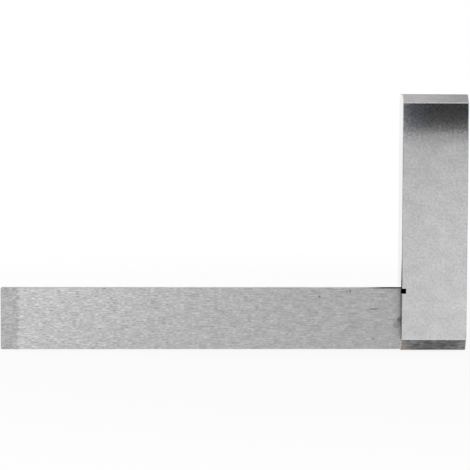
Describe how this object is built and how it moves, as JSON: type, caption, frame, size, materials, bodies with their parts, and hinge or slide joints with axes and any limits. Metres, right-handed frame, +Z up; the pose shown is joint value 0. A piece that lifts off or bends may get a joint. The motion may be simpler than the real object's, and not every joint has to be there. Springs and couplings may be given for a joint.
{
  "type": "steel square",
  "caption": "Fixed steel square: a thin unmarked ground blade at a right angle in the slotted foot of a thick bevelled stock.",
  "frame": {"origin": "on the base plane, in the middle of the thickness, below the stock's inner face", "axes": "+Z up along the stock, -X out along the blade, Y across the thickness"},
  "size_m": [0.1745, 0.015, 0.096],
  "materials": {
    "stock_steel": "surface ground, fine satin grain",
    "blade_steel": "surface ground, short streaks along the blade",
    "rivet_steel": "ground flush with the stock"
  },
  "bodies": {
    "root": {"stock": "stock_steel", "blade": "blade_steel", "rivet_1": "rivet_steel", "rivet_2": "rivet_steel", "rivet_3": "rivet_steel"}
  },
  "joints": []
}
